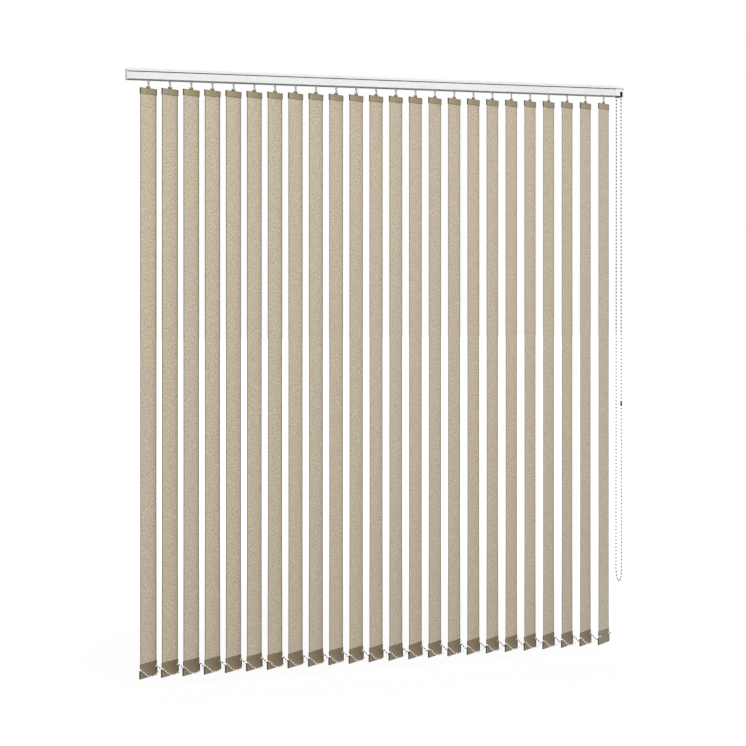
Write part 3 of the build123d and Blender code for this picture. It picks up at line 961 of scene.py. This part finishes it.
@dataclass
class Vane:
    """One vane: its hook, hanger, cloth and bottom weight, in a frame with x along the cloth."""

    number: int
    palette: Palette
    cloth_width: float = 83 * MM
    cloth_thick: float = 0.6 * MM
    cloth_top: float = -77.9 * MM
    cloth_bottom: float = -2203.0 * MM
    hanger_half: float = 43.5 * MM
    hanger_top: float = -69.8 * MM
    hanger_bottom: float = -92.9 * MM
    plate_half: float = 1.5 * MM
    slot_half: float = 0.42 * MM
    weight_top: float = -2193.0 * MM
    weight_bottom: float = -2247.7 * MM

    @property
    def label(self) -> str:
        """Name the vane's body and node."""
        return f"vane_{self.number:02d}"

    def _place(self, piece: bpy.types.Object) -> bpy.types.Object:
        """Put a piece in the vane's frame and on its body.

        Args:
            piece: The piece, modelled in the vane's frame.

        Returns:
            The piece.
        """
        piece.matrix_world = LAYOUT.vane_matrix(self.number)
        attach(piece, self.label)
        return piece

    def hook(self) -> bpy.types.Object:
        """Build the white hook: a stem from the carrier, a plate and a finger through the hanger.

        Returns:
            The hook.
        """
        draft = Draft()
        turns = [math.radians(a) for a in (-17, -8.5, 0, 8.5, 17, 163, 171.5, 180, 188.5, 197)]
        blade = [(2.2 * MM * math.cos(a), 2.2 * MM * math.sin(a)) for a in turns]
        draft.prism(blade, Axis.Z, -42.0 * MM, -30.3 * MM)
        plate = [(7.5, -41.5), (3.0, -55.0), (-3.0, -55.0), (-7.5, -41.5)]
        draft.prism([(x * MM, z * MM) for x, z in plate], Axis.Y, -1.2 * MM, 1.2 * MM)
        finger = [
            (1.2, -50.0),
            (-1.2, -50.0),
            (-2.7, -53.0),
            (-2.7, -66.25),
            (2.7, -66.25),
            (2.7, -62.95),
            (1.1, -62.95),
            (1.1, -64.55),
            (-1.1, -64.55),
            (-1.1, -57.0),
            (1.2, -55.0),
        ]
        draft.prism([(y * MM, z * MM) for y, z in finger], Axis.X, -3.0 * MM, 3.0 * MM)
        return self._place(draft.build(f"{self.label}_hook", self.palette.hook, 0.35 * MM))

    def hanger(self) -> bpy.types.Object:
        """Build the hanger: a folded plate that grips the cloth, with a tab and its window.

        Returns:
            The hanger.
        """
        draft = Draft()
        half, slot = self.plate_half, self.slot_half
        bottom, top = self.hanger_bottom, self.hanger_top
        fold = [
            (-half, bottom),
            (-half, top),
            (half, top),
            (half, bottom),
            (slot, bottom),
            (slot, bottom + 15.2 * MM),
            (-slot, bottom + 15.2 * MM),
            (-slot, bottom),
        ]
        draft.prism(fold, Axis.X, -self.hanger_half, self.hanger_half)
        tab = (-10.0 * MM, top - 1.0 * MM, 10.0 * MM, -62.3 * MM)
        window = (-4.0 * MM, -66.85 * MM, 4.0 * MM, -64.4 * MM)
        draft.window_plate(tab, window, 0.8 * MM)
        return self._place(draft.build(f"{self.label}_hanger", self.palette.hanger, 0.4 * MM))

    def cloth(self) -> bpy.types.Object:
        """Build the cloth: a thin closed sheet with a slight bow between hanger and weight.

        Returns:
            The cloth.
        """
        columns, rows = 16, 72
        half_w, half_t = self.cloth_width / 2, self.cloth_thick / 2
        seed = 3.7 * self.number
        verts: list[Point] = []
        uvs: list[tuple[float, float]] = []
        across: list[float] = []
        for face in (-1, 1):
            for r in range(rows + 1):
                v = r / rows
                z = self.cloth_bottom + (self.cloth_top - self.cloth_bottom) * v
                held = min(1.0, 8 * min(max(0.0, v - 0.008), max(0.0, 0.99 - v)))
                bow = noise.noise(Vector((seed, 2.1 * v, 0.3))) * 1.4 * MM * held
                for c in range(columns + 1):
                    u = math.sin(math.pi * (c / columns - 0.5))
                    taper = 1 - 0.45 * max(0.0, abs(u) - 0.94) / 0.06
                    ripple = noise.noise(Vector((seed, 9 * v, 2.2 * u))) * 0.25 * MM * held
                    y = bow * (1 - u * u) + ripple + face * half_t * taper
                    verts.append((u * half_w, y, z))
                    uvs.append((u * half_w + 0.2 * self.number, z))
                    across.append(abs(u))
        stride = columns + 1
        back = (rows + 1) * stride
        faces: list[tuple[int, ...]] = []
        for r in range(rows):
            for c in range(columns):
                a = r * stride + c
                b = a + stride
                faces.append((a, a + 1, b + 1, b))
                faces.append((back + a, back + b, back + b + 1, back + a + 1))
        for r in range(rows):
            for c in (0, columns):
                a = r * stride + c
                faces.append((a, a + stride, back + a + stride, back + a))
        for r in (0, rows):
            for c in range(columns):
                a = r * stride + c
                faces.append((a, a + 1, back + a + 1, back + a))
        mesh = bpy.data.meshes.new(f"{self.label}_cloth")
        mesh.from_pydata(verts, [], faces)
        layer = mesh.uv_layers.new(name="Cloth")
        for loop in mesh.loops:
            layer.data[loop.index].uv = uvs[loop.vertex_index]
        store = mesh.attributes.new("across", "FLOAT", "POINT")
        store.data.foreach_set("value", across)
        work = bmesh.new()
        work.from_mesh(mesh)
        bmesh.ops.recalc_face_normals(work, faces=work.faces)
        work.to_mesh(mesh)
        work.free()
        piece = self._place(place_mesh(mesh, f"{self.label}_cloth", self.palette.cloth))
        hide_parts(self.label)
        return piece

    def weight(self) -> bpy.types.Object:
        """Build the bottom weight, a flat sleeve with a notch for the chain clip at each shoulder.

        Returns:
            The weight.
        """
        half_outline = [
            (42.5, -2193.0),
            (42.5, -2210.85),
            (36.5, -2210.85),
            (36.5, -2216.75),
            (46.0, -2216.75),
            (46.0, -2244.4),
            (45.1, -2246.8),
            (43.0, -2247.7),
        ]
        left = [(-x, z) for x, z in reversed(half_outline)]
        outline = [(x * MM, z * MM) for x, z in half_outline + left]
        draft = Draft()
        draft.prism(outline, Axis.Y, -self.plate_half, self.plate_half)
        return self._place(draft.build(f"{self.label}_weight", self.palette.weight, 0.45 * MM))

    def assemble(self) -> None:
        """Build the whole vane.

        Returns:
            None.
        """
        hook = self.hook()
        hanger = self.hanger()
        weight = self.weight()
        cloth = self.cloth()
        LOG.debug("%s built with %s", self.label, hook.name)


@dataclass
class BeadChain:
    """A cord of moulded beads on a string, laid along a smooth route."""

    name: str
    body: str
    route: Sequence[Point]
    bead: float
    pitch: float
    finish: bpy.types.Material
    string: float = 1.1 * MM

    def _line(self) -> list[Vector]:
        """Read the route's smooth line from its spline.

        Returns:
            Points along the line, in order.
        """
        curve = bpy.data.curves.new(f"{self.name}_line", "CURVE")
        curve.dimensions = "3D"
        curve.resolution_u = 16
        spline = curve.splines.new("NURBS")
        spline.points.add(len(self.route) - 1)
        for point, place in zip(spline.points, self.route):
            point.co = (*place, 1.0)
        spline.order_u = 3
        spline.use_endpoint_u = True
        holder = bpy.data.objects.new(f"{self.name}_line", curve)
        bpy.context.scene.collection.objects.link(holder)
        graph = bpy.context.evaluated_depsgraph_get()
        mesh = bpy.data.meshes.new_from_object(holder.evaluated_get(graph))
        points = [v.co.copy() for v in mesh.vertices]
        bpy.data.meshes.remove(mesh)
        bpy.data.objects.remove(holder)
        bpy.data.curves.remove(curve)
        return points

    @staticmethod
    def _spaced(line: Sequence[Vector], step: float) -> tuple[list[Vector], float]:
        """Walk along a line and note a point at every step.

        Args:
            line: The line's points.
            step: The wanted distance between points.

        Returns:
            The evenly spaced points, and the line's length.
        """
        lengths = [0.0]
        for a, b in zip(line, line[1:]):
            lengths.append(lengths[-1] + (b - a).length)
        total = lengths[-1]
        count = max(2, round(total / step))
        found: list[Vector] = []
        k = 0
        for i in range(count + 1):
            target = total * i / count
            while k < len(line) - 2 and lengths[k + 1] < target:
                k += 1
            span = max(1e-9, lengths[k + 1] - lengths[k])
            found.append(line[k].lerp(line[k + 1], (target - lengths[k]) / span))
        return found, total

    def build(self, far_end: str, fixed: Point | None = None, with_pieces: Sequence[bpy.types.Object] = ()) -> bpy.types.Object:
        """Args:
            far_end: Not used; what its far end goes into, as the frame names it.
            fixed: The end that stays put when the vanes are drawn together, or None.
            with_pieces: Not used; separate pieces on the chain.

        Returns:
            The chain's mesh object.
        """
        line = self._line()
        beads, total = self._spaced(line, self.pitch)
        knots, _ = self._spaced(line, self.pitch / 2)
        work = bmesh.new()
        for place in beads[:-1]:
            spot = Matrix.Translation(place)
            bmesh.ops.create_uvsphere(work, u_segments=12, v_segments=8, radius=self.bead / 2, matrix=spot)
        self._add_string(work, knots)
        for face in work.faces:
            face.smooth = True
        mesh = bpy.data.meshes.new(self.name)
        work.to_mesh(mesh)
        work.free()
        mesh.materials.append(self.finish)
        piece = bpy.data.objects.new(f"{self.name}_beads", mesh)
        bpy.context.scene.collection.objects.link(piece)
        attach(piece, self.body)
        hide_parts(self.name)
        if fixed is not None:
            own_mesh(piece)
        LOG.info("%s: %.3f m, %d beads", self.name, total, len(beads) - 1)
        return piece

    def _add_string(self, work: bmesh.types.BMesh, knots: Sequence[Vector]) -> None:
        """Add the thin string that joins the beads.

        Args:
            work: The mesh that receives it.
            knots: Points along the string.

        Returns:
            None.
        """
        sides = 6
        rings: list[list[bmesh.types.BMVert]] = []
        for i, place in enumerate(knots):
            ahead = knots[min(i + 1, len(knots) - 1)] - knots[max(i - 1, 0)]
            ahead.normalize()
            side = ahead.cross(Vector((0, 1, 0) if abs(ahead.x) > 0.5 else (1, 0, 0))).normalized()
            other = ahead.cross(side)
            ring = []
            for k in range(sides):
                turn = 2 * math.pi * k / sides
                offset = side * math.cos(turn) + other * math.sin(turn)
                ring.append(work.verts.new(place + offset * self.string / 2))
            rings.append(ring)
        for a, b in zip(rings, rings[1:]):
            for k in range(sides):
                m = (k + 1) % sides
                work.faces.new((a[k], a[m], b[m], b[k]))


@dataclass
class ControlChain:
    """The endless chain that turns the sprocket, with its joiner."""

    palette: Palette
    x: float = 988.5 * MM
    bead: float = 6.0 * MM
    pitch: float = 14.15 * MM

    def _strand(self, side: Side) -> list[Point]:
        """List one strand's route, from the top of the sprocket to the knee of the loop.

        Args:
            side: Whether it is the front strand or the rear one.

        Returns:
            The route's points.
        """
        places = (
            (0.5, -5.0),
            (10.41, -5.0),
            (21.25, -34.0),
            (21.32, -70.0),
            (24.95, -1938.0),
            (25.0, -1963.0),
            (18.5, -1987.0),
        )
        return [(self.x, side.value * y * MM, z * MM) for y, z in places]

    def joiner(self) -> bpy.types.Object:
        """Build the joiner, a small barrel round the front strand.

        Returns:
            The joiner.
        """
        drop = (1280.0 - 34.0) / (1963.0 - 34.0)
        y = -(21.25 + drop * (25.0 - 21.25)) * MM
        z = -1280.0 * MM
        half = [(3.9, 0.6), (4.3, 1.0), (4.3, 8.0), (4.0, 9.4), (3.1, 10.0)]
        profile = [(r, -h) for r, h in reversed(half)] + half
        draft = Draft()
        draft.turned([(r * MM, z + h * MM) for r, h in profile], 24, (self.x, y))
        piece = draft.build("chain_joiner_barrel", self.palette.grey_and_shaded_chain)
        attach(piece, "rail")
        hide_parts("chain_joiner")
        return piece

    def assemble(self) -> None:
        """Build the chain and its joiner.

        Returns:
            None.
        """
        joiner = self.joiner()
        route = self._strand(Side.FRONT) + [(self.x, 0.0, -2002.1 * MM)] + self._strand(Side.REAR)[::-1]
        chain = BeadChain("control_chain", "rail", route, self.bead, self.pitch, self.palette.grey_and_shaded_chain)
        chain.build("object", with_pieces=[joiner])


@dataclass
class BottomChain:
    """One of the two chains that keep the vanes' lower ends in step."""

    side: Side
    palette: Palette
    bead: float = 5.6 * MM
    pitch: float = 11.2 * MM
    sag: float = 25.2 * MM
    slope: float = math.radians(51.5)
    inward: float = 10.0 * MM
    outward: float = 5.2 * MM
    half: float = 2.464 * MM

    @property
    def name(self) -> str:
        """Name the chain's node and body."""
        return "bottom_chain_front" if self.side is Side.FRONT else "bottom_chain_rear"

    def _seat(self, number: int) -> tuple[float, float]:
        """Give the x and y where the chain sits on a vane.

        Args:
            number: The vane's number.

        Returns:
            The seat's x and y in metres.
        """
        s = self.side.value
        x = LAYOUT.vane_x(number) + s * LAYOUT.slat_seat * math.cos(LAYOUT.angle)
        return x, s * LAYOUT.slat_seat * math.sin(LAYOUT.angle)

    def route(self) -> list[Point]:
        """List the route's points: flat through each clip, and down between the vanes.

        Returns:
            The points in metres, from the control end to the far end.
        """
        before, after = (self.outward, self.inward) if self.side is Side.FRONT else (self.inward, self.outward)
        inside = self.half * math.sin(self.slope)
        run = self.sag / math.tan(self.slope)
        z = -LAYOUT.seat_drop
        points: list[Point] = []
        for number in range(1, LAYOUT.count + 1):
            x, y = self._seat(number)
            start, end = x - before, x + after
            if number > 1:
                points.append((start + inside - run, y, z - self.sag))
                points.append((start + inside, y, z))
            else:
                points.append((start, y, z))
            if number < LAYOUT.count:
                points.append((end - inside, y, z))
                points.append((end - inside + run, y, z - self.sag))
            else:
                points.append((end, y, z))
        return points[::-1]

    def assemble(self) -> None:
        """Build the chain.

        Returns:
            None.
        """
        x, y = self._seat(LAYOUT.count)
        # The rear chain is painted dark as shade; the front one, the same chain, stays white.
        finish = self.palette.chain if self.side is Side.FRONT else self.palette.grey_and_shaded_chain
        chain = BeadChain(self.name, self.name, self.route(), self.bead, self.pitch, finish)
        chain.build("object", fixed=(x, y, -LAYOUT.seat_drop))


# Studio


@dataclass
class Studio:
    """The camera, the lamps, the white background and the floor."""

    eye: Point = (-1.8026, -5.8004, -0.750)
    yaw: float = math.radians(16.808)
    lens: float = 75.8
    shift_y: float = -0.1352
    floor_z: float = -2.30

    def camera(self) -> None:
        """Set the camera where the photograph was taken from.

        Returns:
            None.
        """
        data = bpy.data.cameras.new("camera")
        data.lens = self.lens
        data.sensor_width = 36.0
        data.shift_y = self.shift_y
        camera = bpy.data.objects.new("camera", data)
        camera.location = self.eye
        camera.rotation_euler = (math.pi / 2, 0, -self.yaw)
        bpy.context.scene.collection.objects.link(camera)
        bpy.context.scene.camera = camera

    def lamp(self, name: str, place: Point, aim: Point, size: float, power: float) -> None:
        """Add a square soft light.

        Args:
            name: The light's name.
            place: Where it is.
            aim: What it points at.
            size: Its side, in metres.
            power: Its power in watts.

        Returns:
            None.
        """
        data = bpy.data.lights.new(name, "AREA")
        data.size = size
        data.energy = power
        light = bpy.data.objects.new(name, data)
        light.visible_camera = False
        light.location = place
        light.rotation_euler = (Vector(aim) - Vector(place)).to_track_quat("-Z", "Y").to_euler()
        bpy.context.scene.collection.objects.link(light)

    def world(self) -> None:
        """Give soft light all round, and white where the camera looks past the object.

        Returns:
            None.
        """
        world = bpy.data.worlds.new("studio")
        bpy.context.scene.world = world
        world.use_nodes = True
        world.node_tree.nodes.clear()
        tree = NodeTree(world.node_tree)
        path = tree.add("ShaderNodeLightPath")
        seen = tree.math("MAXIMUM", path.outputs["Is Camera Ray"], path.outputs["Is Glossy Ray"])
        seen = tree.math("MAXIMUM", seen, path.outputs["Is Transmission Ray"])
        soft = tree.add("ShaderNodeBackground", in_Strength=0.40)
        soft.inputs["Color"].default_value = (1, 1, 1, 1)
        white = tree.add("ShaderNodeBackground", in_Strength=1.0)
        white.inputs["Color"].default_value = (1, 1, 1, 1)
        mix = tree.add("ShaderNodeMixShader")
        tree.link(seen, mix.inputs[0])
        tree.link(soft.outputs[0], mix.inputs[1])
        tree.link(white.outputs[0], mix.inputs[2])
        output = tree.add("ShaderNodeOutputWorld")
        tree.link(mix.outputs[0], output.inputs["Surface"])

    def floor(self) -> None:
        """Lay a white floor that keeps a faint shadow.

        Returns:
            None.
        """
        draft = Draft()
        draft.box((-30, -30, self.floor_z - 0.02), (30, 30, self.floor_z))
        material = bpy.data.materials.new("floor_white")
        material.use_nodes = True
        material.node_tree.nodes.clear()
        tree = NodeTree(material.node_tree)
        matte = tree.add("ShaderNodeBsdfDiffuse")
        matte.inputs["Color"].default_value = (0.36, 0.36, 0.36, 1)
        glow = tree.add("ShaderNodeEmission", in_Strength=1.23)
        glow.inputs["Color"].default_value = (1, 1, 1, 1)
        path = tree.add("ShaderNodeLightPath")
        seen = tree.math("MAXIMUM", path.outputs["Is Camera Ray"], path.outputs["Is Glossy Ray"])
        seen = tree.math("MAXIMUM", seen, path.outputs["Is Transmission Ray"])
        place = tree.add("ShaderNodeNewGeometry")
        away = tree.add("ShaderNodeVectorMath", operation="LENGTH")
        tree.link(place.outputs["Position"], away.inputs[0])
        far = tree.ramp(away.outputs["Value"], 2.4, 4.2)
        share = tree.math("MULTIPLY_ADD", far, 0.25, 0.75)
        mix = tree.add("ShaderNodeMixShader")
        tree.link(tree.math("MULTIPLY", seen, share), mix.inputs[0])
        tree.link(matte.outputs[0], mix.inputs[1])
        tree.link(glow.outputs[0], mix.inputs[2])
        output = tree.add("ShaderNodeOutputMaterial")
        tree.link(mix.outputs[0], output.inputs["Surface"])
        draft.build("floor", material)

    def assemble(self) -> None:
        """Set up the whole studio.

        Returns:
            None.
        """
        self.camera()
        self.world()
        self.floor()
        middle = (0.0, 0.0, -1.0)
        self.lamp("key", (-0.1, -6.0, 2.2), middle, 6.5, 395)
        self.lamp("fill", (3.6, -4.4, 0.4), middle, 3.0, 12)
        self.lamp("back", (1.5, 4.2, 1.2), middle, 2.5, 90)


def main() -> None:
    """Build the studio and the blind in order.

    Returns:
        None.
    """
    logging.basicConfig(level=logging.INFO, format="%(message)s")
    palette = Palette()
    Studio().assemble()
    ControlChain(palette).assemble()
    for side in Side:
        BottomChain(side, palette).assemble()
    Headrail(palette).dress()
    for number in range(1, LAYOUT.count + 1):
        Vane(number, palette).assemble()
    scene = bpy.context.scene
    scene.view_settings.view_transform = "Standard"
    LOG.info("blind dressed")


if __name__ == "__main__":
    main()
